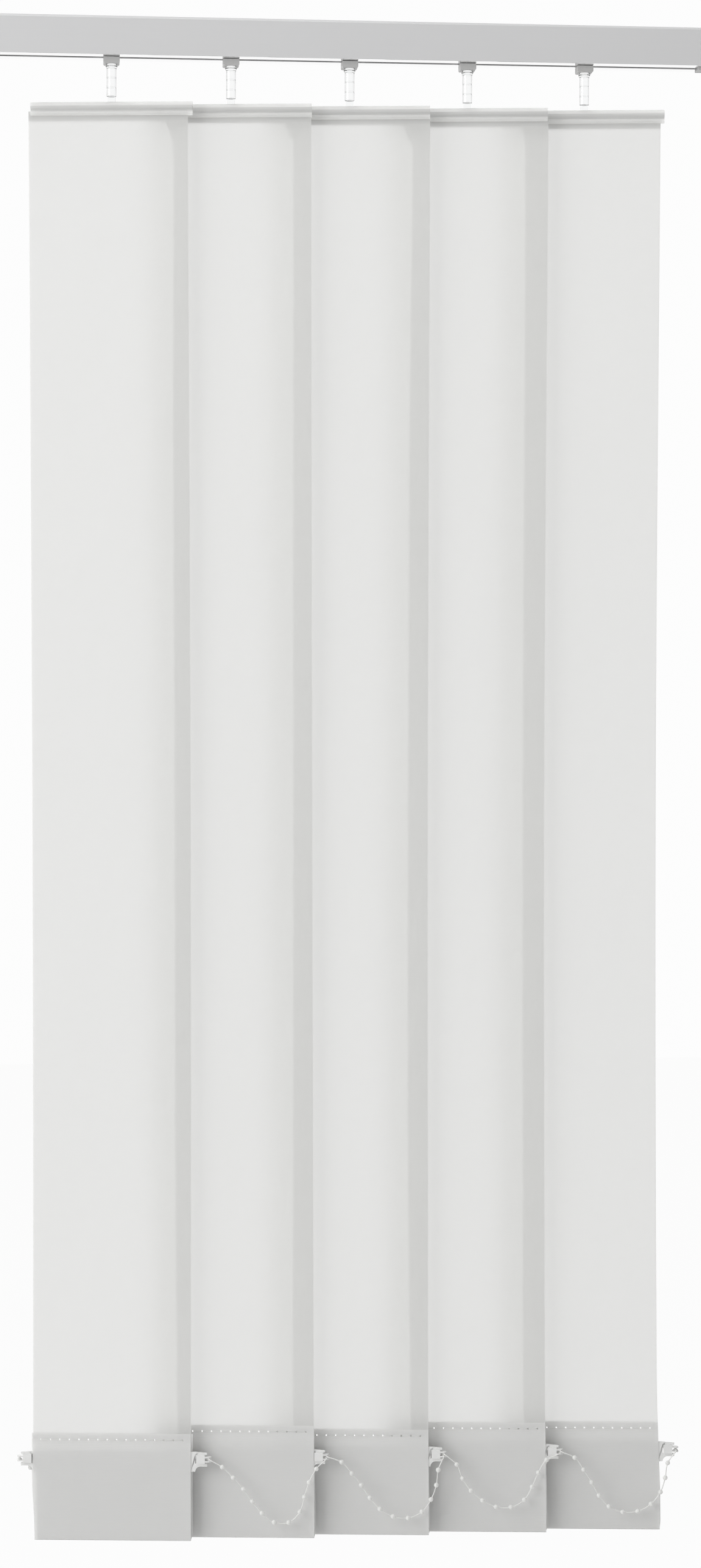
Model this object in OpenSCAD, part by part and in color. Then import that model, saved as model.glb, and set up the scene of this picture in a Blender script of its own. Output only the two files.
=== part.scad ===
// Vertical blind: a head rail with five geared carriers, five fabric slats and two bead chains.
// The origin is the middle of the rail's top face, which lies against the ceiling.
// X runs along the rail, -Y faces the room and +Z is up. Sizes are in millimetres.

/* [Head rail] */
// Length of the extrusion between the end caps
rail_l = 640; // [630:5:720]
// Depth of the rail, from the room side to the window side
rail_d = 26; // [25.6:0.1:29]
// Height of the rail
rail_h = 31; // [30:0.5:36]
// Wall of the extrusion
rail_wall = 1.4; // [1.2:0.1:1.5]
// Width of the slot in the underside
slot_w = 6; // [5.8:0.1:6.6]
// Chamfer along the two upper edges
rail_chamfer = 2; // [1:0.1:2.6]
// Thickness of an end cap's plate
cap_t = 3; // [2:0.5:5]
// Distance from the rail's end to the middle of an end stop
stop_in = 32; // [24:1:40]

/* [Slats] */
// Distance between neighbouring carriers, drawn out
slat_pitch = 95; // [92:1:96]
// Width of a fabric slat
slat_w = 127; // [120:1:130]
// Height of a slat from the top of its hanger to the fold of its hem
slat_drop = 1151; // [600:1:2200]
// Angle of the slats to the rail, right ends towards the room
slat_tilt = 7; // [6:0.5:30]
// Thickness of the fabric
fabric_t = 0.6; // [0.4:0.05:0.7]

/* [Hem and weight] */
// Height of the seam that closes the hem, above the fold
seam_h = 83; // [70:1:120]
// Height of the hem's cut edge above the seam
hem_edge = 5; // [2:0.5:12]
// Room between the weight's top and the seam
weight_room = 11; // [9.5:0.5:20]
// Thickness of the weight plate
weight_t = 1.8; // [1.4:0.1:2]
// How far the fork's prongs reach past the slat
prong_reach = 11.5; // [11:0.1:12]
// Opening of the fork
fork_gap = 7; // [6.6:0.1:7.4]

/* [Bead chains] */
// Diameter of a bead
bead_d = 3.8; // [3:0.1:4]
// Distance between beads along the chain
bead_pitch = 12.4; // [11:0.1:14]
// Diameter of the chain's cord
cord_d = 0.9; // [0.7:0.05:0.95]

/* [Carriers] */
// Width of the block that shows below the rail
block_w = 12.8; // [11:0.1:15]
// Height of that block
block_h = 4.9; // [4:0.1:8]
// Diameter of the clear stem
stem_d = 7.7; // [7:0.1:8.6]
// Gap between the rail's underside and the top of the hangers
hang_gap = 35; // [32:0.5:44]
// Length of a carrier's housing along the rail
housing_l = 26; // [22:0.5:30]
// Size of the hexagonal tilt rod across its flats
rod_af = 3; // [2.6:0.05:3.1]

/* [Hidden] */
$fn = 48;
eps = 0.01;
slat_count = 5;

// Clearances
turn_play = 0.1;
slide_play = 0.3;
fit_play = 0.05;

// Heights in the rail
lip_top = rail_wall - rail_h;
foot_h = 0.6;
housing_z = lip_top + foot_h;
housing_h = 17;
housing_top = housing_z + housing_h;
housing_side = 0.7;
housing_d = rail_d - 2 * rail_wall - 2 * housing_side;
neck_d = slot_w - 2 * slide_play;
block_d = 13;
block_top = -rail_h - slide_play;
block_bottom = block_top - block_h;

// Worm drive: a ten-tooth gear on the stem and a single-start worm on the rod
gear_teeth = 10;
gear_t = 2.5;
gear_tip_r = 4.4;
gear_pitch_r = 3.7;
gear_root_r = 2.8;
tooth_tip_w = 0.6;
tooth_root_w = 1.1;
mesh_gap = 0.2;
worm_core_r = 2.4;
worm_tip_r = 3.6;
thread_root_w = 1.1;
thread_tip_w = 0.5;
thread_turns = 3.5;
thread_steps = 16;
thread_sunk = 0.3;
worm_lead = 2 * PI * gear_pitch_r / gear_teeth;
worm_room = 0.3;
worm_well_l = 12;
gear_floor = housing_z + 9;
drive_z = gear_floor + gear_t / 2;
drive_y = gear_tip_r + worm_core_r + mesh_gap;
rod_corner_r = rod_af / sqrt(3);

// Stem, from its snap head down to its hook
journal_d = 3;
journal_flat = 1;
head_d = 4;
head_h = 0.9;
collar_d = 9.5;
collar_neck = 8.2;
collar_flare = 1.6;
collar_h = 4.2;
ring_groove = 0.35;
ring_w = 0.6;
ring_drops = [10.6, 18.5];
hanger_top = -rail_h - hang_gap;
stem_end = hanger_top + 4.2;
tongue_w = 6;
tongue_t = 1.6;
hook_reach = 3;
hook_h = 2;

// Hanger profile: a hollow loop above a slit bead that grips the fabric
loop_d = 6.4;
loop_wall = 0.9;
grip_z = 9.1;
grip_r = 1.9;
grip_neck = 2.4;
slit_top = 7.3;
hanger_over = 1;
doubled_h = 3.6;
hook_slot_play = 0.2;

// Hem, weight and fork
hem_h = seam_h + hem_edge;
weight_top = seam_h - weight_room;
pocket_play = 0.05;
pocket_half = weight_t / 2 + pocket_play;
hem_half = pocket_half + fabric_t;
hem_taper = 9;
weight_in = 1.5;
fork_h = 16;
fork_base = 2;
fork_root = 4;
prong_t = 2.4;
prong_slope = 0.8;
fork_fillet = fork_h - 2 * prong_t - fork_gap;
fork_z = weight_top - prong_t - fork_gap / 2;
fold_z = hanger_top - slat_drop;
eye_z = fold_z + fork_z;

// Chain clips: a block in the fork, and a clevis whose upright pin takes the chain's end rings
clip_gap = 0.8;
clip_l = 7;
clip_d = 4.4;
eye_r = slat_w / 2 + prong_reach + 1.1;
clevis_r = clip_d / 2;
clevis_h = 4.4;
pin_d = 1.8;
ring_t = 1.05;
ring_d = 3.5;
ring_gap = 0.3;
clevis_gap = 2 * ring_t + ring_gap;
clip_start = slat_w / 2 + fork_base + clip_gap;
eye_x = eye_r * cos(slat_tilt);
eye_y = eye_r * sin(slat_tilt);

// Spacer straps between the carriers
bridge_l = 10;
bridge_wall = 1.2;
strap_w = 6;
strap_t = 0.5;
strap_head_w = 9;
strap_head_l = 3;
strap_step = 1;
bridge_in = strap_w + 2 * slide_play;
bridge_h = strap_step + strap_t + slide_play;

// End caps and stops
stop_x = rail_l / 2 - stop_in;
plug_l = 12;
plug_play = 0.15;
plug_wall = 2;
plug_foot = 9;
stop_h = 5;
stop_drop = 2;
stop_w = 12.8;

// Route of each front span in its own plane, as sideways and downward steps from its left eye
chain_forward = 4.2;
knot_d = 1;
spans = [
    [[10, 5], [27, 23], [42, 43], [58, 53], [72, 45], [78, 27], [84, 12]],
    [[11, 3], [27, 22], [41, 41], [58, 50], [75, 47], [87, 30], [90, 12]],
    [[9, 6], [18, 25], [35, 40], [52, 44], [67, 36], [75, 19], [83, 6]],
    [[10, 3], [23, 21], [36, 42], [53, 50], [71, 46], [84, 30], [87, 12]],
];
spline_steps = 8;
bead_margin = 9;

function carrier_x(k) = (k - (slat_count + 1) / 2) * slat_pitch;

// A point of the smooth curve through four neighbouring points, for t from 0 to 1
function blend(p, t) =
    0.5 * (2 * p[1] + t * (p[2] - p[0]) + t * t * (2 * p[0] - 5 * p[1] + 4 * p[2] - p[3])
    + t * t * t * (3 * p[1] - p[0] - 3 * p[2] + p[3]));
function four(p, i) = [p[max(i - 1, 0)], p[i], p[i + 1], p[min(i + 2, len(p) - 1)]];
function smooth(p) = concat(
    [for (i = [0 : len(p) - 2]) for (j = [0 : spline_steps - 1]) blend(four(p, i), j / spline_steps)],
    [p[len(p) - 1]]);
function lengths(p) = [for (i = 0, s = 0; i < len(p);
    s = s + (i + 1 < len(p) ? norm(p[i + 1] - p[i]) : 0), i = i + 1) s];

// The beads of a span: even steps along its smooth route, as far from both of its ends
function span_points(k) = smooth(concat([[0, 0]], spans[k - 1], [[slat_pitch, 0]]));
function beads_on(length) = floor((length - 2 * bead_margin) / bead_pitch) + 1;
function bead_places(k) =
    let (route = span_points(k), along = lengths(route), total = along[len(along) - 1])
    let (count = beads_on(total), start = (total - (count - 1) * bead_pitch) / 2)
    let (xs = [for (i = [0 : len(route) - 1]) [along[i], route[i][0]]])
    let (drops = [for (i = [0 : len(route) - 1]) [along[i], route[i][1]]])
    [for (i = [0 : count - 1]) [lookup(start + i * bead_pitch, xs), lookup(start + i * bead_pitch, drops)]];

// Places the children on the axis of carrier k
module at_carrier(k) {
    translate([carrier_x(k), 0, 0]) children();
}

// Places the children on carrier k, turned to the slats' angle
module at_slat(k) {
    at_carrier(k) rotate([0, 0, -slat_tilt]) children();
}

// Extrudes a section drawn in the depth and height of the blind along X, centred
module along_rail(length) {
    rotate([90, 0, 90]) linear_extrude(length, center = true) children();
}

// Extrudes an outline drawn in the width and height of the blind through its depth, centred
module through_depth(depth) {
    rotate([90, 0, 0]) linear_extrude(depth, center = true) children();
}

// A round bar between two points
module bar(from, to, d) {
    step = to - from;
    translate(from) rotate([0, acos(step.z / norm(step)), atan2(step.y, step.x)]) cylinder(d = d, h = norm(step));
}

module box(size_x, size_y, z_from, z_to) {
    translate([-size_x / 2, -size_y / 2, z_from]) cube([size_x, size_y, z_to - z_from]);
}

// Outline of the rail, moved in by a wall
module rail_outline(inset) {
    half = rail_d / 2 - inset;
    cut = rail_chamfer;
    polygon([
        [-half, inset - rail_h], [half, inset - rail_h], [half, -inset - cut],
        [half - cut, -inset], [cut - half, -inset], [-half, -inset - cut],
    ]);
}

module headrail() {
    color("#cbcbcc") along_rail(rail_l) difference() {
        rail_outline(0);
        rail_outline(rail_wall);
        translate([-slot_w / 2, -rail_h - 1]) square([slot_w, rail_wall + 2]);
    }
}

// An end cap: a plate over the rail's end and a hollow plug that carries the rod
module end_cap(side) {
    color("#c4c4c6") scale_side(side) translate([rail_l / 2, 0, 0]) difference() {
        union() {
            translate([cap_t / 2, 0, 0]) along_rail(cap_t) rail_outline(0);
            translate([-plug_l / 2, 0, 0]) along_rail(plug_l + 2 * eps) rail_outline(rail_wall + plug_play);
        }
        translate([-plug_l / 2 - plug_wall, 0, 0]) along_rail(plug_l) difference() {
            rail_outline(rail_wall + plug_play + plug_wall);
            translate([drive_y, drive_z]) circle(d = plug_foot);
        }
        translate([-plug_l, drive_y, drive_z]) rotate([0, 90, 0])
            translate([0, 0, -1]) cylinder(r = rod_corner_r + turn_play, h = plug_l + cap_t + 2);
    }
}

module scale_side(side) {
    if (side > 0) children();
    else mirror([1, 0, 0]) children();
}

// An end stop: a block under the rail, held by a foot that lies on the slot's lips
module end_stop(side) {
    color("#a8a8a8") translate([side * stop_x, 0, 0]) {
        box(stop_w, block_d, -rail_h - stop_drop, -rail_h);
        box(stop_w, neck_d, -rail_h - eps, lip_top + eps);
        box(stop_w, housing_d, lip_top, lip_top + stop_h);
    }
}

module tilt_rod() {
    color("#d8d8d8") translate([0, drive_y, drive_z]) rotate([0, 90, 0])
        cylinder(r = rod_corner_r, h = rail_l + 2 * cap_t, center = true, $fn = 6);
}

// A carrier: a housing on four feet in the rail, a neck through the slot and a block below it
module carrier(k) {
    well_r = worm_tip_r + worm_room;
    color("#a7a7a6") at_carrier(k) difference() {
        union() {
            box(housing_l, housing_d, housing_z, housing_top);
            for (x = [-1, 1]) for (y = [-1, 1])
                translate([x * (housing_l / 2 - 3), y * (housing_d / 2 - 2.5), 0])
                    box(5, 4, lip_top, housing_z + eps);
            box(block_w, neck_d, block_top - eps, housing_z + eps);
            carrier_block();
            bridge();
        }
        translate([0, 0, block_bottom - 1]) cylinder(d = journal_d + 2 * turn_play, h = rail_h + block_h);
        translate([0, 0, gear_floor]) cylinder(r = gear_tip_r + worm_room, h = housing_h);
        translate([0, drive_y, 0]) {
            box(worm_well_l, 2 * well_r, drive_z - well_r, housing_top + 1);
            box(housing_l + 2, 2 * (worm_core_r + turn_play), drive_z, housing_top + 1);
            translate([0, 0, drive_z]) rotate([0, 90, 0])
                cylinder(r = worm_core_r + turn_play, h = housing_l + 2, center = true);
        }
    }
}

// The block below the rail, with its lower edges rounded
module carrier_block() {
    round_r = 1;
    half = block_w / 2;
    through_depth(block_d) {
        translate([-half, block_bottom + round_r]) square([block_w, block_h - round_r]);
        translate([-half + round_r, block_bottom]) square([block_w - 2 * round_r, round_r + eps]);
        for (x = [-1, 1]) translate([x * (half - round_r), block_bottom + round_r]) circle(round_r);
    }
}

// The bridge on top of a carrier, which the spacer straps run through
module bridge() {
    bridge_y = -housing_d / 2 + bridge_in / 2 + bridge_wall;
    translate([0, bridge_y, 0]) difference() {
        box(bridge_l, bridge_in + 2 * bridge_wall, housing_top - eps, housing_top + bridge_h + bridge_wall);
        box(bridge_l + 2, bridge_in, housing_top, housing_top + bridge_h);
    }
}

// A spacer strap: its left head sits against its own carrier, its right head catches the next one
module spacer(k) {
    strap_y = -housing_d / 2 + bridge_in / 2 + bridge_wall;
    strap_z = housing_top + (k % 2 == 1 ? 0 : strap_step);
    from = -bridge_l / 2 - strap_head_l;
    to = slat_pitch + bridge_l / 2 + slide_play;
    color("#d0d2d4") at_carrier(k) translate([0, strap_y, strap_z]) {
        translate([from, -strap_w / 2, 0]) cube([to + strap_head_l - from, strap_w, strap_t]);
        for (x = [from, to]) translate([x, -strap_head_w / 2, 0]) cube([strap_head_l, strap_head_w, strap_t]);
    }
}

// A worm: a sleeve on the rod with one helical thread
module worm(k) {
    color("#f0f0ee") at_carrier(k) translate([0, drive_y, drive_z]) difference() {
        union() {
            rotate([0, 90, 0]) cylinder(r = worm_core_r, h = housing_l, center = true);
            worm_thread();
        }
        rotate([0, 90, 0]) cylinder(r = rod_corner_r + fit_play, h = housing_l + 2, center = true, $fn = 6);
    }
}

// The thread's section is swept along a right-handed helix, at its middle on the gear's side
module worm_thread() {
    rings = thread_turns * thread_steps;
    section = [
        [worm_core_r - thread_sunk, -thread_root_w / 2], [worm_tip_r, -thread_tip_w / 2],
        [worm_tip_r, thread_tip_w / 2], [worm_core_r - thread_sunk, thread_root_w / 2],
    ];
    points = [for (i = [0 : rings]) let (turn = (i / rings - 0.5) * thread_turns) for (s = section)
        [turn * worm_lead + s[1], s[0] * cos(180 + 360 * turn), s[0] * sin(180 + 360 * turn)]];
    sides = [for (i = [0 : rings - 1]) for (j = [0 : 3]) let (n = (j + 1) % 4)
        each [[4 * i + j, 4 * i + n, 4 * i + 4 + n], [4 * i + j, 4 * i + 4 + n, 4 * i + 4 + j]]];
    ends = [[3, 2, 1, 0], [for (j = [0 : 3]) 4 * rings + j]];
    polyhedron(points, concat(sides, ends));
}

// The gear that the stem hangs in; a gap between two teeth faces the worm
module tilt_gear(k) {
    color("#efefec") at_carrier(k) translate([0, 0, gear_floor]) difference() {
        linear_extrude(gear_t) {
            circle(gear_root_r);
            for (i = [0 : gear_teeth - 1]) rotate(90 + (i + 0.5) * 360 / gear_teeth) gear_tooth();
        }
        translate([0, 0, -1]) linear_extrude(gear_t + 2) journal_outline(fit_play);
    }
}

module gear_tooth() {
    polygon([
        [gear_root_r - 0.5, -tooth_root_w / 2], [gear_tip_r, -tooth_tip_w / 2],
        [gear_tip_r, tooth_tip_w / 2], [gear_root_r - 0.5, tooth_root_w / 2],
    ]);
}

// The flatted top of the stem, which turns with the gear
module journal_outline(play) {
    intersection() {
        circle(d = journal_d + 2 * play);
        translate([-journal_d, -journal_d]) square([2 * journal_d, journal_d + journal_flat + play]);
    }
}

// A stem: snap head, journal, collar, clear shaft with two rings, and a hook for the hanger
module stem(k) {
    gear_top = gear_floor + gear_t;
    collar_top = block_bottom - turn_play;
    color("#e4ecee") at_carrier(k) {
        translate([0, 0, gear_top]) cylinder(d1 = head_d, d2 = journal_d, h = head_h);
        translate([0, 0, gear_floor]) linear_extrude(gear_t + eps) journal_outline(0);
        translate([0, 0, collar_top - eps]) cylinder(d = journal_d, h = gear_floor - collar_top + 2 * eps);
        difference() {
            union() {
                translate([0, 0, collar_top - collar_flare])
                    cylinder(d1 = collar_d, d2 = collar_neck, h = collar_flare);
                translate([0, 0, collar_top - collar_h])
                    cylinder(d1 = stem_d, d2 = collar_d, h = collar_h - collar_flare + eps);
                translate([0, 0, stem_end]) cylinder(d = stem_d, h = collar_top - collar_h - stem_end + eps);
            }
            for (drop = ring_drops) translate([0, 0, block_bottom - drop - ring_w]) stem_ring();
        }
    }
    color("#e4ecee") at_slat(k) stem_hook();
}

module stem_ring() {
    difference() {
        cylinder(d = stem_d + 2, h = ring_w);
        cylinder(d = stem_d - 2 * ring_groove, h = 3 * ring_w, center = true);
    }
}

// The tongue drops through the hanger's slot, and its toe lies under the loop's curved roof
module stem_hook() {
    inner_r = loop_d / 2 - loop_wall;
    roof = hanger_top - loop_d / 2 + sqrt(pow(inner_r, 2) - pow(tongue_t / 2, 2)) - fit_play;
    box(tongue_w, tongue_t, roof - hook_h, stem_end + eps);
    translate([tongue_w / 2 - eps, -tongue_t / 2, roof - hook_h]) cube([hook_reach, tongue_t, hook_h]);
}

// Section of the hanger, with its top at the height 0
module hanger_section() {
    difference() {
        union() {
            translate([0, -loop_d / 2]) circle(d = loop_d);
            translate([-grip_neck / 2, -grip_z]) square([grip_neck, grip_z - loop_d + loop_wall]);
            translate([0, -grip_z]) circle(grip_r);
        }
        translate([0, -loop_d / 2]) circle(d = loop_d - 2 * loop_wall);
        translate([-fabric_t, -grip_z - grip_r - 1]) square([2 * fabric_t, grip_z + grip_r + 1 - slit_top]);
    }
}

module hanger(k) {
    slot_from = -tongue_w / 2 - hook_reach - hook_slot_play;
    slot_to = tongue_w / 2 + hook_slot_play;
    slot_d = tongue_t + 2 * hook_slot_play;
    color("#e9e9e6") at_slat(k) translate([0, 0, hanger_top]) difference() {
        along_rail(slat_w + 2 * hanger_over) hanger_section();
        translate([slot_from, -slot_d / 2, -loop_wall - 1]) cube([slot_to - slot_from, slot_d, loop_wall + 2]);
    }
}

// Section of the fabric: doubled in the hanger, single down to the hem, and a sewn pocket
module slat_section() {
    taper_z = seam_h - hem_taper;
    difference() {
        union() {
            translate([-fabric_t, slat_drop - grip_z - grip_r - doubled_h])
                square([2 * fabric_t, grip_z + grip_r + doubled_h - slit_top]);
            translate([-fabric_t / 2, hem_h - eps]) square([fabric_t, slat_drop - grip_z - grip_r - hem_h]);
            polygon([
                [-hem_half, hem_half], [hem_half, hem_half], [hem_half, taper_z], [fabric_t, seam_h],
                [fabric_t, hem_h], [-fabric_t, hem_h], [-fabric_t, seam_h], [-hem_half, taper_z],
            ]);
            translate([0, hem_half]) circle(hem_half);
        }
        polygon([
            [-pocket_half, fabric_t], [pocket_half, fabric_t], [pocket_half, taper_z],
            [0, seam_h - fabric_t], [-pocket_half, taper_z],
        ]);
    }
}

module slat(k) {
    color("#e6e6e3") at_slat(k) translate([0, 0, fold_z]) along_rail(slat_w) slat_section();
}

// A weight: a plate that stands on the hem's fold, with a fork at both upper corners
module weight(k) {
    half = slat_w / 2 - weight_in;
    color("#f2f2f0") at_slat(k) translate([0, 0, fold_z]) through_depth(weight_t) {
        translate([-half, fabric_t]) square([2 * half, weight_top - fabric_t]);
        fork();
        mirror([1, 0]) fork();
    }
}

// The fork on the right: a base, two prongs and a rounded corner under the lower one
module fork() {
    edge = slat_w / 2;
    root = edge - fork_root;
    base = edge + fork_base;
    tip = edge + prong_reach;
    bottom = weight_top - fork_h;
    low = bottom + fork_fillet;
    difference() {
        polygon([
            [root, bottom], [base + fork_fillet, bottom], [base + fork_fillet, low], [tip, low],
            [tip, low + prong_t], [base, low + prong_t], [base, weight_top - prong_t],
            [tip, weight_top - prong_t], [tip, weight_top - prong_slope], [base, weight_top], [root, weight_top],
        ]);
        translate([base + fork_fillet, bottom]) circle(fork_fillet);
    }
}

module chain_clips(k) {
    color("#f4f4f2") at_slat(k) translate([0, 0, eye_z]) {
        chain_clip();
        rotate([0, 0, 180]) chain_clip();
    }
}

// A clip: its block sits between the prongs, and its clevis holds the pin for the chain
module chain_clip() {
    difference() {
        union() {
            translate([clip_start, -clip_d / 2, -fork_gap / 2]) cube([clip_l, clip_d, fork_gap]);
            translate([clip_start, -clevis_r, -clevis_h / 2]) cube([eye_r - clip_start, clip_d, clevis_h]);
            translate([eye_r, 0, 0]) cylinder(r = clevis_r, h = clevis_h, center = true);
        }
        translate([clip_start + clip_l, -clip_d, -clevis_gap / 2]) cube([eye_r, 2 * clip_d, clevis_gap]);
    }
    translate([eye_r, 0, 0]) cylinder(d = pin_d, h = clevis_gap + 2 * eps, center = true);
}

// The ring at an end of a span and the short length of cord that leaves it
module chain_end(ring_z) {
    middle = ring_z + ring_t / 2;
    difference() {
        union() {
            translate([0, 0, ring_z]) cylinder(d = ring_d, h = ring_t);
            bar([0, 0, middle], [0, -chain_forward, middle], cord_d);
        }
        translate([0, 0, ring_z - 1]) cylinder(d = pin_d + 2 * turn_play, h = ring_t + 2);
    }
}

// A bead or knot on the cord; its seam faces the room, away from the cord's two holes
module bead(at, along, d) {
    translate(at) rotate([0, atan2(-along.z, along.x), 0]) rotate([0, 0, -90]) sphere(d = d);
}

// One span in its own frame: it starts on the upper place of one pin and ends on the lower place of the next
module chain_span(k) {
    low = -clevis_gap / 2;
    high = low + ring_t + ring_gap;
    beads = [for (p = bead_places(k)) [p[0], -chain_forward, -p[1]]];
    first = [0, -chain_forward, high + ring_t / 2];
    last = [slat_pitch, -chain_forward, low + ring_t / 2];
    route = concat([first], beads, [last]);
    end = len(route) - 1;
    chain_end(high);
    translate([slat_pitch, 0, 0]) chain_end(low);
    for (i = [0 : end - 1]) bar(route[i], route[i + 1], cord_d);
    for (i = [0 : end])
        bead(route[i], route[min(i + 1, end)] - route[max(i - 1, 0)], i == 0 || i == end ? knot_d : bead_d);
}

module front_chain(k) {
    color("#f5f5f2") translate([carrier_x(k) + eye_x, -eye_y, eye_z]) chain_span(k);
}

// The rear spans are the front ones turned about, from the left clips and behind the slats
module rear_chain(k) {
    color("#f5f5f2") translate([carrier_x(k + 1) - eye_x, eye_y, eye_z]) rotate([0, 0, 180]) chain_span(k);
}

headrail();
end_cap(-1);  // end_cap_left
end_cap(1);  // end_cap_right
end_stop(-1);  // end_stop_left
end_stop(1);  // end_stop_right
tilt_rod();
for (k = [1 : slat_count]) {
    carrier(k);
    worm(k);
    tilt_gear(k);
    stem(k);
    hanger(k);
    slat(k);
    weight(k);
    chain_clips(k);
}
for (k = [1 : slat_count - 1]) {
    spacer(k);
    front_chain(k);
    rear_chain(k);
}
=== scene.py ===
import math

import bpy
from mathutils import Matrix, Vector


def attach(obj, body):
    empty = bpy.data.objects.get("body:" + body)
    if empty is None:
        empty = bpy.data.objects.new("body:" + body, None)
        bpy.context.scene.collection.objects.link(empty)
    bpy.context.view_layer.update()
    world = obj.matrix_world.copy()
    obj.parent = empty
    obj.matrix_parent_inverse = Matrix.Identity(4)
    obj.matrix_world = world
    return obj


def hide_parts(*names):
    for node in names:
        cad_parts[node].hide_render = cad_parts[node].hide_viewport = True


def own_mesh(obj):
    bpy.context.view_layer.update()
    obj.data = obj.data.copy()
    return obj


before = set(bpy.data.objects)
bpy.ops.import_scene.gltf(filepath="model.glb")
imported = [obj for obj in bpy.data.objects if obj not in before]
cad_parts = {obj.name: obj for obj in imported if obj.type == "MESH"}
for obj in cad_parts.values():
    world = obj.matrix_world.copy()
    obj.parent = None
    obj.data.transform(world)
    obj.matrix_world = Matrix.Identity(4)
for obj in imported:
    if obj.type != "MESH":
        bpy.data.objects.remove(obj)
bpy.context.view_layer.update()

bl_info = {
    "name": "Vertical blind",
    "version": (1, 0, 0),
    "blender": (4, 5, 0),
    "location": "View3D > Sidebar > Blind",
    "description": "Dresses a vertical blind and sets a plain studio around it",
    "category": "Object",
}

MM = 0.001
SLATS = (1, 2, 3, 4, 5)
GAPS = (1, 2, 3, 4)

# How far in front of its pins a chain's cord runs, and how far its first ring lies above their
# middle and its last ring below it
CORD_FORWARD = 4.2 * MM
RING_RISE = 0.675 * MM

# How far below a hanger's top the cloth's tuck begins and ends
TUCK_TOP = 7.3 * MM
TUCK_END = 14.6 * MM

# Heights at which a hanger's loop turns under and at which its grip begins; between them the hanger's
# colour carries painted shade
LOOP_LOW = -69.3 * MM
LOOP_END = -73.2 * MM

# Routes of the four chain spans, in millimetres sideways and down from their first eye
SPAN_ROUTES = {
    1: ((10, 5), (27, 23), (42, 43), (58, 53), (72, 45), (78, 27), (84, 12)),
    2: ((11, 3), (27, 22), (41, 41), (58, 50), (75, 47), (87, 30), (90, 12)),
    3: ((9, 6), (18, 25), (35, 40), (52, 44), (67, 36), (75, 19), (83, 6)),
    4: ((10, 3), (23, 21), (36, 42), (53, 50), (71, 46), (84, 30), (87, 12)),
}


def length_prop(name, description, default):
    return bpy.props.FloatProperty(
        name=name, description=description, default=default, unit="LENGTH", precision=5
    )


def colour_prop(name, description, default):
    return bpy.props.FloatVectorProperty(
        name=name, description=description, default=default, subtype="COLOR", min=0, max=1
    )


class BlindSizes(bpy.types.PropertyGroup):
    """Sizes of the dressed blind, as in the part's source."""

    pitch: length_prop("Pitch", "Distance between neighbouring carriers", 0.095)
    tilt: bpy.props.FloatProperty(
        name="Tilt",
        description="Angle of the slats to the rail",
        default=math.radians(-7),
        subtype="ANGLE",
    )
    slat_width: length_prop("Slat width", "Width of a fabric slat", 0.127)
    slat_drop: length_prop("Slat drop", "From the top of a hanger to the fold of the hem", 1.151)
    fold_z: length_prop("Fold height", "Height of the hem's fold", -1.217)
    cloth_thickness: length_prop("Cloth thickness", "Thickness of the fabric", 0.0006)
    hem_height: length_prop("Hem height", "From the fold to the hem's cut edge", 0.088)
    seam_height: length_prop("Seam height", "From the fold to the seam", 0.083)
    stitch_step: length_prop("Stitch step", "Distance between needle holes", 0.0076)
    eye_x: length_prop("Eye reach", "Chain eye's distance from its carrier along the rail", 0.075533)
    eye_y: length_prop("Eye offset", "Chain eye's distance in front of its carrier", 0.009274)
    eye_z: length_prop("Eye height", "Height of the chain eyes", -1.1509)
    bead: length_prop("Bead", "Diameter of a bead", 0.0038)
    bead_step: length_prop("Bead step", "Distance between beads along the chain", 0.0124)
    cord: length_prop("Cord", "Diameter of the chain's cord", 0.0009)
    gathered_pitch: length_prop("Gathered pitch", "Distance between carriers when drawn aside", 0.065)


class BlindColours(bpy.types.PropertyGroup):
    """Colours of the blind's finishes."""

    cloth: colour_prop("Cloth", "Woven slat fabric", (0.885, 0.885, 0.876))
    cloth_glow: colour_prop("Cloth glow", "Light that comes through the fabric", (0.90, 0.90, 0.895))
    rail: colour_prop("Rail", "Satin lacquered rail", (0.68, 0.68, 0.685))
    bare: colour_prop("Bare", "Bare underside of the rail", (0.96, 0.96, 0.96))
    cap: colour_prop("Cap", "Moulded end caps", (0.55, 0.55, 0.56))
    carrier: colour_prop("Carrier", "Moulded carriers and stops", (0.57, 0.57, 0.565))
    steel: colour_prop("Steel", "Rod and spacer straps", (0.66, 0.67, 0.68))
    gear: colour_prop("Gear", "Worms and gears", (0.84, 0.84, 0.81))
    clear: colour_prop("Clear", "Clear stems", (0.95, 0.955, 0.955))
    milky: colour_prop("Milky", "Milky hangers", (0.95, 0.95, 0.94))
    white: colour_prop("White", "Moulded weights, forks and clips", (0.87, 0.87, 0.86))
    bead: colour_prop("Bead", "Chain beads and cord", (0.95, 0.95, 0.94))


class Value:
    """A socket that takes part in Python arithmetic through Math nodes."""

    def __init__(self, tree, socket):
        self.tree = tree
        self.socket = socket

    def math(self, operation, *terms):
        return self.tree.node("ShaderNodeMath", {"operation": operation}, dict(enumerate(terms)))

    def __add__(self, other):
        return self.math("ADD", self, other)

    def __radd__(self, other):
        return self.math("ADD", other, self)

    def __sub__(self, other):
        return self.math("SUBTRACT", self, other)

    def __rsub__(self, other):
        return self.math("SUBTRACT", other, self)

    def __mul__(self, other):
        return self.math("MULTIPLY", self, other)

    def __rmul__(self, other):
        return self.math("MULTIPLY", other, self)

    def sine(self):
        return self.math("SINE", self)

    def power(self, exponent):
        return self.math("POWER", self, exponent)

    def below(self, limit):
        return self.math("LESS_THAN", self, limit)

    def highest(self, other):
        return self.math("MAXIMUM", self, other)


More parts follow.
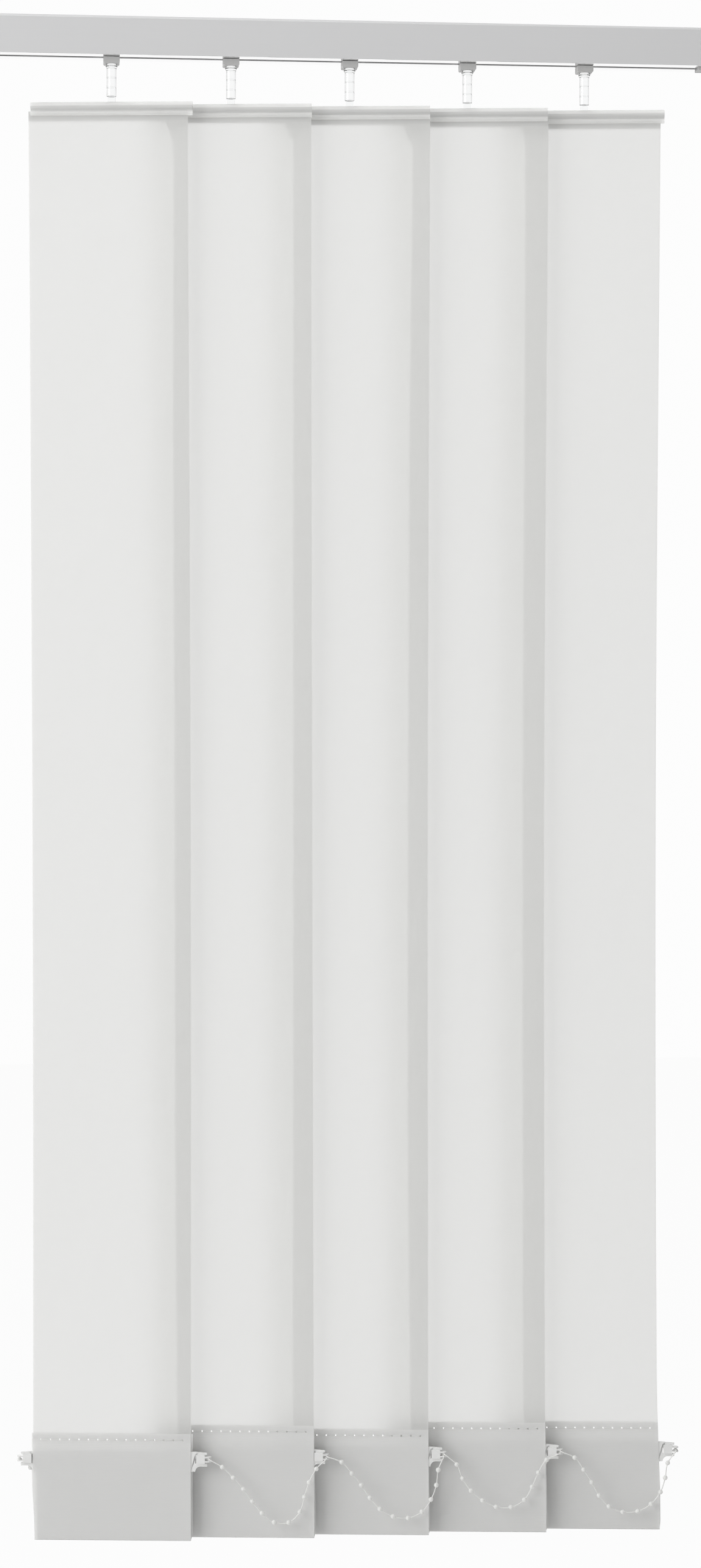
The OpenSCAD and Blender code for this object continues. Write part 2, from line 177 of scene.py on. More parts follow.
class ShaderTree:
    """A node tree with one method that adds any node."""

    def __init__(self, owner):
        owner.use_nodes = True
        self.tree = owner.node_tree
        self.tree.nodes.clear()

    def node(self, kind, settings=None, sockets=None, out=0):
        made = self.tree.nodes.new(kind)
        for key, value in (settings or {}).items():
            setattr(made, key, value)
        for key, value in (sockets or {}).items():
            if isinstance(value, Value):
                self.tree.links.new(value.socket, made.inputs[key])
            else:
                made.inputs[key].default_value = value
        return Value(self, made.outputs[out])

    def place(self):
        return self.node("ShaderNodeTexCoord", out="Object")

    def axes(self, place):
        return [
            self.node("ShaderNodeSeparateXYZ", None, {0: place}, out=axis) for axis in ("X", "Y", "Z")
        ]

    def stretched(self, place, scale):
        return self.node("ShaderNodeVectorMath", {"operation": "MULTIPLY"}, {0: place, 1: scale})

    def noise(self, place, scale, detail=3.0, rough=0.55):
        return self.node(
            "ShaderNodeTexNoise",
            None,
            {"Vector": place, "Scale": scale, "Detail": detail, "Roughness": rough},
        )

    def tint(self, low, high, share):
        """A colour between two others, of which the first may be a mix itself."""
        start = low if isinstance(low, Value) else (*low, 1.0)
        sockets = {0: share, 6: start, 7: (*high, 1.0)}
        return self.node("ShaderNodeMix", {"data_type": "RGBA"}, sockets, out=2)

    def bump(self, height, depth, strength):
        sockets = {"Height": height, "Distance": depth, "Strength": strength}
        return self.node("ShaderNodeBump", None, sockets)

    def principled(self, sockets):
        return self.node("ShaderNodeBsdfPrincipled", None, sockets)

    def lit_through(self, skin, colour, share):
        """A skin over a body that lets light through."""
        body = self.node("ShaderNodeBsdfTranslucent", None, {"Color": (*colour, 1.0)})
        return self.node("ShaderNodeMixShader", None, {0: share, 1: skin, 2: body})

    def finish(self, shader, kind="ShaderNodeOutputMaterial"):
        output = self.tree.nodes.new(kind)
        self.tree.links.new(shader.socket, output.inputs["Surface"])


def shaded(colour, share):
    """A colour made darker or lighter."""
    return tuple(min(1.0, c * share) for c in colour)


def new_finish(name):
    """An empty material and its node tree."""
    made = bpy.data.materials.new(name)
    return made, ShaderTree(made)


def moulded_plastic(name, colour, rough, grain=2600.0, depth=0.00002, coat=0.0, through=0.0):
    """Moulded plastic: faint flow marks in the colour and a fine spark-eroded grain."""
    made, tree = new_finish(name)
    place = tree.place()
    flow = tree.noise(tree.stretched(place, (60.0, 60.0, 240.0)), 1.0, 2.0)
    fine = tree.noise(place, grain, 2.0, 0.6)
    skin = tree.principled(
        {
            "Base Color": tree.tint(shaded(colour, 0.965), shaded(colour, 1.025), flow),
            "Roughness": rough - 0.06 + fine * 0.14,
            "Coat Weight": coat,
            "Coat Roughness": 0.12,
            "Normal": tree.bump(fine, depth, 0.5),
        }
    )
    tree.finish(tree.lit_through(skin, colour, through) if through else skin)
    return made


def satin_paint(name, colour, bare):
    """Satin lacquer on a rail: faint draw lines under a clear coat, bare bright lips below."""
    made, tree = new_finish(name)
    place = tree.place()
    drawn = tree.noise(tree.stretched(place, (3.0, 1300.0, 1300.0)), 1.0, 3.0, 0.6)
    cloud = tree.noise(tree.stretched(place, (7.0, 30.0, 30.0)), 1.0, 2.0)
    under = tree.axes(tree.node("ShaderNodeNewGeometry", out="True Normal"))[2].below(-0.7)
    paint = tree.tint(shaded(colour, 0.975), shaded(colour, 1.02), drawn * 0.5 + cloud * 0.5)
    tree.finish(
        tree.principled(
            {
                "Base Color": tree.tint(paint, bare, under),
                "Metallic": under,
                "Roughness": (0.28 + drawn * 0.10) * (1.0 - under * 0.7),
                "Coat Weight": 1.0,
                "Coat Roughness": 0.07,
                "Normal": tree.bump(drawn, 0.000015, 0.5),
            }
        )
    )
    return made


def satin_metal(name, colour, rough):
    """Drawn metal: fine lines along the rail in its gloss and its surface."""
    made, tree = new_finish(name)
    place = tree.place()
    drawn = tree.noise(tree.stretched(place, (4.0, 1900.0, 1900.0)), 1.0, 3.0, 0.6)
    cloud = tree.noise(tree.stretched(place, (5.0, 40.0, 40.0)), 1.0, 2.0)
    shade = drawn * 0.6 + cloud * 0.4
    tree.finish(
        tree.principled(
            {
                "Base Color": tree.tint(shaded(colour, 0.97), shaded(colour, 1.03), shade),
                "Metallic": 1.0,
                "Roughness": rough - 0.07 + drawn * 0.10 + cloud * 0.05,
                "Normal": tree.bump(drawn, 0.000012, 0.6),
            }
        )
    )
    return made


def woven_cloth(name, colour, glow, tuck_end):
    """Plain weave with ribs and slubs that lets light through, less at the tuck and the hem, with
    painted shade in the colour at the tuck.
    """
    made, tree = new_finish(name)
    place = tree.place()
    x, _, z = tree.axes(place)
    rib = (z * (2 * math.pi / (0.62 * MM))).sine()
    warp = (x * (2 * math.pi / (0.48 * MM))).sine()
    slub = tree.noise(tree.stretched(place, (90.0, 90.0, 1500.0)), 1.0, 3.0, 0.6)
    cloud = tree.noise(tree.stretched(place, (26.0, 26.0, 9.0)), 1.0, 2.0)
    weave = rib * 0.30 + warp * 0.20 + slub * 1.1
    # The tuck below the hanger is painted darker as shade, and lets less light through
    tuck_painted_shade = 1 - z.below(tuck_end)
    stiff = tree.node("ShaderNodeAttribute", {"attribute_name": "hem"}, out="Fac")
    threads = 0.1 + slub * 0.5 + cloud * 0.3 + rib * 0.14 + warp * 0.10
    plain = tree.tint(shaded(colour, 0.93), shaded(colour, 1.05), threads)
    more = 1 + stiff * 0.12
    dense = tree.node("ShaderNodeVectorMath", {"operation": "SCALE"}, {0: plain, "Scale": more})
    surface = tree.principled(
        {
            "Base Color": tree.tint(dense, shaded(colour, 0.92), tuck_painted_shade),
            "Roughness": 0.78 + slub * 0.14,
            "Specular IOR Level": 0.22,
            "Normal": tree.bump(weave, 0.00012, 0.6),
        }
    )
    share = 0.76 + slub * 0.08 + rib * 0.035 + warp * 0.025 - tuck_painted_shade * 0.24 - stiff * 0.40
    tree.finish(tree.lit_through(surface, glow, share))
    return made


def sewing_thread(name, colour):
    """Twisted sewing thread."""
    made, tree = new_finish(name)
    place = tree.place()
    x, y, z = tree.axes(place)
    twist = ((x + z + y * 2.0) * (2 * math.pi / (0.35 * MM))).sine()
    surface = tree.principled(
        {
            "Base Color": tree.tint(shaded(colour, 0.92), shaded(colour, 1.05), 0.5 + twist * 0.4),
            "Roughness": 0.6 + twist * 0.08,
            "Normal": tree.bump(twist, 0.00004, 0.6),
        }
    )
    tree.finish(tree.lit_through(surface, colour, 0.55))
    return made


def milky_plastic(name, colour):
    """Milky extruded plastic: a glossy skin over a body that light passes, with painted shade in the
    colour of the loop's lower half.
    """
    made, tree = new_finish(name)
    place = tree.place()
    drawn = tree.noise(tree.stretched(place, (14.0, 14.0, 900.0)), 1.0, 3.0)
    cloud = tree.noise(place, 160.0, 2.0)
    height = tree.axes(place)[2]
    grip = height.below(LOOP_END)
    # Below LOOP_LOW and above the grip the colour is painted darker as shade, where the loop's lower
    # half faces down; it also lets less light through
    under = height.below(LOOP_LOW) - grip
    shade = (drawn * 0.6 + cloud * 0.4) * 0.25 + under * 0.75
    skin = tree.principled(
        {
            "Base Color": tree.tint(shaded(colour, 1.03), shaded(colour, 0.72), shade),
            "Roughness": 0.2 + drawn * 0.1,
            "Normal": tree.bump(drawn, 0.00002, 0.4),
        }
    )
    share = 0.50 + cloud * 0.12 - under * 0.22 + grip * 0.18
    tree.finish(tree.lit_through(skin, shaded(colour, 1.06), share))
    return made


def clear_plastic(name, colour):
    """Clear moulded plastic with faint flow lines, and painted shade darkening it where its surface
    turns side-on to the view.
    """
    made, tree = new_finish(name)
    place = tree.place()
    flow = tree.noise(tree.stretched(place, (700.0, 700.0, 60.0)), 1.0, 2.0)
    # Painted shade: the colour turns dark grey towards edges seen side-on
    edge = tree.node("ShaderNodeLayerWeight", None, {"Blend": 0.5}, out="Facing").power(2.2)
    tree.finish(
        tree.principled(
            {
                "Base Color": tree.tint(colour, shaded(colour, 0.12), edge),
                "Roughness": 0.03 + flow * 0.05,
                "IOR": 1.47,
                "Transmission Weight": 1.0,
                "Normal": tree.bump(flow, 0.00003, 0.25),
            }
        )
    )
    return made


FINISHES = {}


def finish_named(name):
    """The blind's finishes by slot, each made once."""
    if not FINISHES:
        c = bpy.context.scene.blind_colours
        tuck_end = bpy.context.scene.blind_sizes.slat_drop - TUCK_END
        FINISHES.update(
            cloth=woven_cloth("slat_cloth", c.cloth, c.cloth_glow, tuck_end),
            thread=sewing_thread("hem_thread", c.bead),
            rail=satin_paint("satin_rail", c.rail, c.bare),
            rod=satin_metal("drawn_rod", c.steel, 0.28),
            spring_steel=satin_metal("strap_steel", c.steel, 0.22),
            cap=moulded_plastic("cap_plastic", c.cap, 0.45),
            carrier=moulded_plastic("carrier_plastic", c.carrier, 0.4),
            gear=moulded_plastic("gear_plastic", c.gear, 0.36),
            clear=clear_plastic("stem_plastic", c.clear),
            milky=milky_plastic("hanger_plastic", c.milky),
            weight=moulded_plastic("weight_plastic", c.white, 0.4),
            white=moulded_plastic("clip_plastic", c.white, 0.3, coat=0.2),
            bead=moulded_plastic(
                "bead_plastic", c.bead, 0.3, grain=3400.0, depth=0.000012, coat=0.2, through=0.45
            ),
        )
    return FINISHES[name]


def new_piece(name, points, faces, finish, matrix=None):
    """A smooth mesh object from points and faces, in place and with its finish."""
    mesh = bpy.data.meshes.new(name)
    mesh.from_pydata([tuple(p) for p in points], [], faces)
    mesh.validate()
    mesh.polygons.foreach_set("use_smooth", [True] * len(mesh.polygons))
    mesh.materials.append(finish)
    mesh.update()
    piece = bpy.data.objects.new(name, mesh)
    bpy.context.scene.collection.objects.link(piece)
    if matrix is not None:
        piece.matrix_world = matrix
    return piece


def smooth_by_angle(piece, degrees):
    """Marks the edges that turn more than an angle as sharp."""
    piece.data.set_sharp_from_angle(angle=math.radians(degrees))


def dress_node(name, slot, round_edge=0.0):
    """Gives a solid of the frame its finish and, where wanted, small rounded edges."""
    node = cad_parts[name]
    node.data.materials.clear()
    node.data.materials.append(finish_named(slot))
    if round_edge:
        weld = node.modifiers.new("weld", "WELD")
        weld.merge_threshold = 0.000002
        bevel = node.modifiers.new("round_edges", "BEVEL")
        bevel.width = round_edge
        bevel.segments = 2
        bevel.limit_method = "ANGLE"
        bevel.angle_limit = math.radians(38)
        bevel.use_clamp_overlap = True
        normals = node.modifiers.new("even_normals", "WEIGHTED_NORMAL")
        normals.keep_sharp = True


def carrier_x(k):
    """A carrier's place along the rail."""
    return (k - 3) * bpy.context.scene.blind_sizes.pitch


def on_slat(k, z):
    """The frame of slat k: X along its width, Y through it, turned with it."""
    sizes = bpy.context.scene.blind_sizes
    return Matrix.Translation((carrier_x(k), 0, z)) @ Matrix.Rotation(sizes.tilt, 4, "Z")


def catmull(points, steps):
    """A smooth line through the points."""
    line = []
    last = len(points) - 1
    for i in range(last):
        p0, p1 = points[max(i - 1, 0)], points[i]
        p2, p3 = points[i + 1], points[min(i + 2, last)]
        for j in range(steps):
            t = j / steps
            line.append(
                0.5
                * (
                    2 * p1
                    + t * (p2 - p0)
                    + t * t * (2 * p0 - 5 * p1 + 4 * p2 - p3)
                    + t * t * t * (3 * p1 - p0 - 3 * p2 + p3)
                )
            )
    return line + [points[last]]


def running_lengths(line):
    """The length from a line's start to each of its points."""
    total = [0.0]
    for a, b in zip(line, line[1:]):
        total.append(total[-1] + (b - a).length)
    return total


def point_at(line, lengths, s):
    """The point at a length along a line."""
    for i in range(len(line) - 1):
        if s <= lengths[i + 1]:
            share = (s - lengths[i]) / max(lengths[i + 1] - lengths[i], 1e-12)
            return line[i].lerp(line[i + 1], share)
    return line[-1].copy()


def circle(centre, side, other, radius, around):
    """Points on a circle in the plane of two directions."""
    ring = []
    for j in range(around):
        a = 2 * math.pi * j / around
        ring.append(centre + side * (radius * math.cos(a)) + other * (radius * math.sin(a)))
    return ring


class Mesh:
    """Points and faces that are gathered into one piece."""

    def __init__(self):
        self.points = []
        self.faces = []

    def rings(self, rings, closed_ends=True):
        """Skins a row of rings that have the same number of points."""
        start = len(self.points)
        count = len(rings[0])
        for ring in rings:
            self.points.extend(ring)
        for i in range(len(rings) - 1):
            for j in range(count):
                a = start + i * count + j
                b = start + i * count + (j + 1) % count
                self.faces.append((a, b, b + count, a + count))
        if closed_ends:
            end = start + (len(rings) - 1) * count
            self.faces.append(tuple(range(start + count - 1, start - 1, -1)))
            self.faces.append(tuple(range(end, end + count)))

    def tube(self, line, radius, around):
        """A round tube along a line, with one frame carried along it."""
        rings = []
        side = None
        for i, p in enumerate(line):
            along = (line[min(i + 1, len(line) - 1)] - line[max(i - 1, 0)]).normalized()
            if side is None:
                side = along.orthogonal().normalized()
            side = (side - along * side.dot(along)).normalized()
            rings.append(circle(p, side, along.cross(side), radius, around))
        self.rings(rings)

    def turned(self, centre, axis, profile, around=20, loop=False):
        """A profile of (along, radius) turned about an axis; a looped profile makes a ring."""
        axis = axis.normalized()
        side = axis.orthogonal().normalized()
        other = axis.cross(side)
        rings = [circle(centre + axis * along, side, other, r, around) for along, r in profile]
        if loop:
            rings.append(rings[0])
        self.rings(rings, closed_ends=not loop)


def bead_profile(radius):
    """A bead moulded on its cord: a ball with a faint mould line and a short lip at both holes."""
    lip = 0.34 * radius
    start = math.asin(lip / radius)
    left = [(-1.08 * radius, 0.25 * radius), (-1.07 * radius, 0.31 * radius), (-0.98 * radius, lip)]
    steps = 9
    for i in range(1, steps):
        a = start + (math.pi / 2 - start) * i / steps
        left.append((-radius * math.cos(a), radius * math.sin(a)))
    left.append((-0.04 * radius, 1.0 * radius))
    left.append((-0.015 * radius, 1.01 * radius))
    return left + [(-a, r) for a, r in reversed(left)]


def ring_profile(inner, outer, height):
    """A flat end ring with rounded corners."""
    c = 0.22 * (outer - inner)
    h = height / 2
    return [
        (-h, inner + c), (-h, outer - c), (-h + c, outer), (h - c, outer),
        (h, outer - c), (h, inner + c), (h - c, inner), (-h + c, inner),
    ]


def span_line(sizes, k):
    """A span's cord in the frame of its first eye, and the places of its ends and beads."""
    leg = 2.6 * MM
    margin = 9 * MM
    route = [(0, 0), *SPAN_ROUTES[k], (sizes.pitch / MM, 0)]
    smooth = catmull([Vector((x * MM, -CORD_FORWARD, -drop * MM)) for x, drop in route], 8)
    lengths = running_lengths(smooth)
    count = int((lengths[-1] - 2 * margin) / sizes.bead_step) + 1
    start = (lengths[-1] - (count - 1) * sizes.bead_step) / 2
    beads = [point_at(smooth, lengths, start + i * sizes.bead_step) for i in range(count)]
    first = Vector((0, -CORD_FORWARD, RING_RISE))
    last = Vector((sizes.pitch, -CORD_FORWARD, -RING_RISE))
    places = [first, *beads, last]
    span = catmull(places, 6)
    along = running_lengths(span)
    inner = [p for p, s in zip(span, along) if leg * 1.1 < s < along[-1] - leg * 1.1]

    def corner(ring_side, knot, span_side):
        return [
            ring_side * (1 - t) ** 2 + knot * (2 * t * (1 - t)) + span_side * t**2
            for t in (0, 0.2, 0.4, 0.6, 0.8, 1.0)
        ]

    back = Vector((0, leg, 0))
    line = corner(first + back, first, point_at(span, along, leg)) + inner
    line += list(reversed(corner(last + back, last, point_at(span, along, along[-1] - leg))))
    return line, places


def chain_span(side, k):
    """One span of bead chain: its cord, and its beads and end rings as a second piece."""
    sizes = bpy.context.scene.blind_sizes
    pitch = sizes.pitch
    line, places = span_line(sizes, k)
    if side == "front":
        origin = Vector((carrier_x(k) + sizes.eye_x, -sizes.eye_y, sizes.eye_z))
        place = Matrix.Translation(origin)
    else:
        origin = Vector((carrier_x(k + 1) - sizes.eye_x, sizes.eye_y, sizes.eye_z))
        place = Matrix.Translation(origin) @ Matrix.Rotation(math.pi, 4, "Z")
    path = [place @ p for p in line]
    tube = Mesh()
    tube.tube(path, sizes.cord / 2, 8)
    cord = new_piece(f"{side}_cord_{k}", tube.points, tube.faces, finish_named("bead"))
    string = Mesh()
    for before, spot, after in zip(places, places[1:], places[2:]):
        direction = place.to_3x3() @ (after - before)
        string.turned(place @ spot, direction, bead_profile(sizes.bead / 2))
    up = Vector((0, 0, 1))
    toward = place.to_3x3() @ Vector((0, -1, 0))
    ring = ring_profile(1.35 * MM, 1.75 * MM, 1.05 * MM)
    boss_start = Vector((0, -1.6 * MM, 0))
    boss = [
        (along * MM, r * MM)
        for along, r in ((-0.2, 0.50), (0.0, 0.52), (0.5, 0.50), (1.1, 0.47), (1.2, 0.3))
    ]
    for end in (Vector((0, 0, RING_RISE)), Vector((pitch, 0, -RING_RISE))):
        string.turned(place @ end, up, ring, 28, loop=True)
        string.turned(place @ (end + boss_start), toward, boss, 14)
    beads_piece = new_piece(f"{side}_beads_{k}", string.points, string.faces, finish_named("bead"))
    smooth_by_angle(beads_piece, 50)
    smooth_by_angle(cord, 60)
    length = sum((b - a).length for a, b in zip(path, path[1:]))
    body = f"{side}_span_{k}"
    for piece in (cord, beads_piece):
        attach(piece, body)
        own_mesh(piece)
    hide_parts(f"{side}_chain_{k}")


def ease(t):
    """A smooth rise from 0 to 1."""
    t = min(1.0, max(0.0, t))
    return t * t * (3 - 2 * t)


# Heights above the fold at which a slat's lean is given, from its top down
LEAN_HEIGHTS = (1.127, 0.602, 0.137, 0.032)


def smooth_through(places, values, at):
    """A smooth curve through values given at falling places, level beyond its ends."""
    at = min(places[0], max(places[-1], at))
    last = len(places) - 1
    slopes = []
    for i in range(last + 1):
        a, b = max(i - 1, 0), min(i + 1, last)
        slopes.append((values[b] - values[a]) / (places[b] - places[a]))
    i = 0
    while i < last - 1 and at < places[i + 1]:
        i += 1
    step = places[i + 1] - places[i]
    t = (at - places[i]) / step
    return (
        (2 * t**3 - 3 * t**2 + 1) * values[i]
        + (t**3 - 2 * t**2 + t) * step * slopes[i]
        + (3 * t**2 - 2 * t**3) * values[i + 1]
        + (t**3 - t**2) * step * slopes[i + 1]
    )


class Strip:
    """The folded strip of cloth of one slat: stations along its length and columns across it."""

    def __init__(self, sizes, leans, camber, seam_rise, askew):
        self.sizes = sizes
        self.leans = leans
        self.camber = camber
        self.askew = askew
        self.seam = sizes.seam_height + seam_rise
        self.hem = sizes.hem_height + seam_rise
        self.stations = []
        self.lay_out()

    def lay_out(self):
        """Stations from the tuck's end up over the hanger's fold, down the panel and round the hem."""
        s = self.sizes
        t = s.cloth_thickness
        drop = s.slat_drop
        half = t / 2
        top = drop - TUCK_TOP - t
        tucked = (drop - TUCK_END, drop - 12.5 * MM, drop - 10.5 * MM, top)
        add = self.add
        for z in tucked:
            add("tuck", half, z)
        for i in range(1, 6):
            a = math.pi * i / 6
            add("tuck", half * math.cos(a), top + half * math.sin(a))
        for z in reversed(tucked):
            add("panel", -half, z)
        for i in range(1, 5):
            add("panel", -half * (1 - ease(i / 4)), drop - TUCK_END - i * 1.6 * MM)
        high = drop - 26 * MM
        low = self.hem + 12 * MM
        rows = 96
        for i in range(rows + 1):
            add("panel", 0.0, high + (low - high) * i / rows)
        for i in range(1, 5):
            add("panel", -half * ease(i / 4), low - i * 2.6 * MM)
        hole = 0.7 * MM
        seam = self.seam
        bulge = 1.25 * MM
        taper = 9 * MM
        sewn = (self.hem, seam + 2.2 * MM, seam + hole, seam - hole)
        for z in sewn:
            add("front", -half, z)
        fan = [i / 6 for i in range(1, 7)]
        for f in fan:
            add("front", -half - (bulge - half) * ease(f), seam - hole - f * taper)
        flat_top = seam - hole - taper
        flat_low = bulge + half
        steps = 14
        for i in range(1, steps + 1):
            add("front", -bulge, flat_top + (flat_low - flat_top) * i / steps)
        for i in range(1, 12):
            a = math.pi * i / 12
            add("fold", -bulge * math.cos(a), flat_low - bulge * math.sin(a))
        for i in range(steps + 1):
            add("back", bulge, flat_low + (flat_top - flat_low) * i / steps)
        for f in reversed(fan[:-1]):
            add("back", half + (bulge - half) * ease(f), seam - hole - f * taper)
        for z in reversed(sewn):
            add("back", half, z)

    def add(self, layer, y, z):
        self.stations.append((layer, y, z))

    def columns(self):
        """Column places across the width, with a narrow one at each needle hole."""
        s = self.sizes
        hole = 0.6 * MM
        count = int(s.slat_width / s.stitch_step)
        places = [(i - (count - 1) / 2) * s.stitch_step for i in range(count)]
        half = s.slat_width / 2
        edge = (-half, -half + 1.2 * MM)
        cols = list(edge)
        holes = []
        for i, p in enumerate(places):
            holes.append(len(cols))
            cols += [p - hole, p + hole]
            if i + 1 < count:
                gap = places[i + 1] - p - 2 * hole
                cols += [p + hole + gap / 3, p + hole + gap * 2 / 3]
        return cols + [-e for e in reversed(edge)], holes

    def across(self, layer, u, z):
        """Sideways place of a point: the slat's own lean, and the layers of the hem a little askew."""
        s = self.sizes
        shift = smooth_through(LEAN_HEIGHTS, self.leans, z)
        side = u / (s.slat_width / 2)
        low = ease(1 - z / (0.7 * self.hem))
        if layer in ("front", "fold", "back"):
            left = 1.4 * MM * low
            right = 0.2 * MM * low
            if layer == "back":
                left = 1.4 * MM * low - 0.9 * MM * ease(z / (0.5 * self.hem))
                low_end, high_end = self.askew
                out = low_end + (high_end - low_end) * z / self.hem
                right = 0.2 * MM * low + out * ease(z / (0.05 * self.hem))
            shift += left * max(0.0, -side) ** 3 + right * max(0.0, side) ** 3
        return u + shift

    def bow(self, layer, u, z):
        """The slight hollow of a hanging slat, none at the hanger and at the hem."""
        s = self.sizes
        if layer != "panel":
            return 0.0
        room = ease((z - self.hem - 6 * MM) / 0.25) * ease((s.slat_drop - 24 * MM - z) / 0.25)
        side = u / (s.slat_width / 2)
        wave = 0.25 * math.sin(3.1 * z / 0.4 + 2.0 * self.camber / MM) * side
        return room * (self.camber * (side * side - 0.35) + wave * MM)

    def mesh(self):
        """Points and faces of both sides of the cloth, its edges and its needle holes."""
        cols, holes = self.columns()
        n = len(cols)
        t = self.sizes.cloth_thickness
        outer, inner = [], []
        last = len(self.stations) - 1
        for i, (layer, y, z) in enumerate(self.stations):
            a = self.stations[max(i - 1, 0)]
            b = self.stations[min(i + 1, last)]
            dy, dz = b[1] - a[1], b[2] - a[2]
            size = math.hypot(dy, dz)
            ny, nz = dz / size, -dy / size
            for u in cols:
                x = self.across(layer, u, z)
                yy = y + self.bow(layer, u, z)
                outer.append((x, yy + ny * t / 2, z + nz * t / 2))
                inner.append((x, yy - ny * t / 2, z - nz * t / 2))
        points = outer + inner
        offset = len(outer)
        seam_rows = self.seam_rows()
        faces = []
        for i in range(last):
            for j in range(n - 1):
                q = (i * n + j, i * n + j + 1, (i + 1) * n + j + 1, (i + 1) * n + j)
                if i in seam_rows and j in holes:
                    for m in range(4):
                        a, b = q[m], q[(m + 1) % 4]
                        faces.append((a, a + offset, b + offset, b))
                    continue
                faces.append(q)
                faces.append(tuple(v + offset for v in reversed(q)))
            for j, flip in ((0, False), (n - 1, True)):
                a, b = i * n + j, (i + 1) * n + j
                face = (a, b, b + offset, a + offset)
                faces.append(tuple(reversed(face)) if flip else face)
        for i, flip in ((0, True), (last, False)):
            for j in range(n - 1):
                a, b = i * n + j, i * n + j + 1
                face = (a, b, b + offset, a + offset)
                faces.append(tuple(reversed(face)) if flip else face)
        return points, faces

    def seam_rows(self):
        """The rows of faces that the needle holes are in."""
        rows = []
        for i in range(len(self.stations) - 1):
            a, b = self.stations[i], self.stations[i + 1]
            middle = (a[2] + b[2]) / 2
            if a[0] in ("front", "back") and abs(middle - self.seam) < 0.2 * MM:
                rows.append(i)
        return rows

    def stitches(self):
        """Thread between the needle holes, on both faces of the hem."""
        thread = Mesh()
        cols, holes = self.columns()
        centres = [(cols[j] + cols[j + 1]) / 2 for j in holes]
        radius = 0.17 * MM
        inset = 0.56 * MM
        lift = self.sizes.cloth_thickness + radius * 0.55
        for layer, face in (("front", -1), ("back", 1)):
            for a, b in zip(centres, centres[1:]):
                line = []
                for i in range(9):
                    f = i / 8
                    x = self.across(layer, a + inset + (b - a - 2 * inset) * f, self.seam)
                    dip = 0.30 * MM * (1 - ease(min(f, 1 - f) / 0.09))
                    line.append(Vector((x, face * (lift - dip), self.seam)))
                thread.tube(line, radius, 7)
        return thread


# Each slat's sideways lean at the lean heights, its hollow, how far its seam is off and how far
# the hem's rear layer stands out at the right, at its fold and at its end, in millimetres
SLAT_WAYS = {
    1: ((-2.8, -1.2, -1.5, -1.9), 0.7, -1.6, (1.4, 1.5)),
    2: ((0.5, 1.2, 2.2, 2.6), -0.5, 3.1, (1.2, 0.1)),
    3: ((1.0, -0.5, 0.0, 0.4), 0.6, -2.2, (1.2, 0.1)),
    4: ((1.6, -1.0, 0.2, 1.3), -0.7, 1.5, (1.3, 0.1)),
    5: ((-2.1, -4.7, -2.9, -0.4), 0.6, 0.0, (0.8, 0.1)),
}


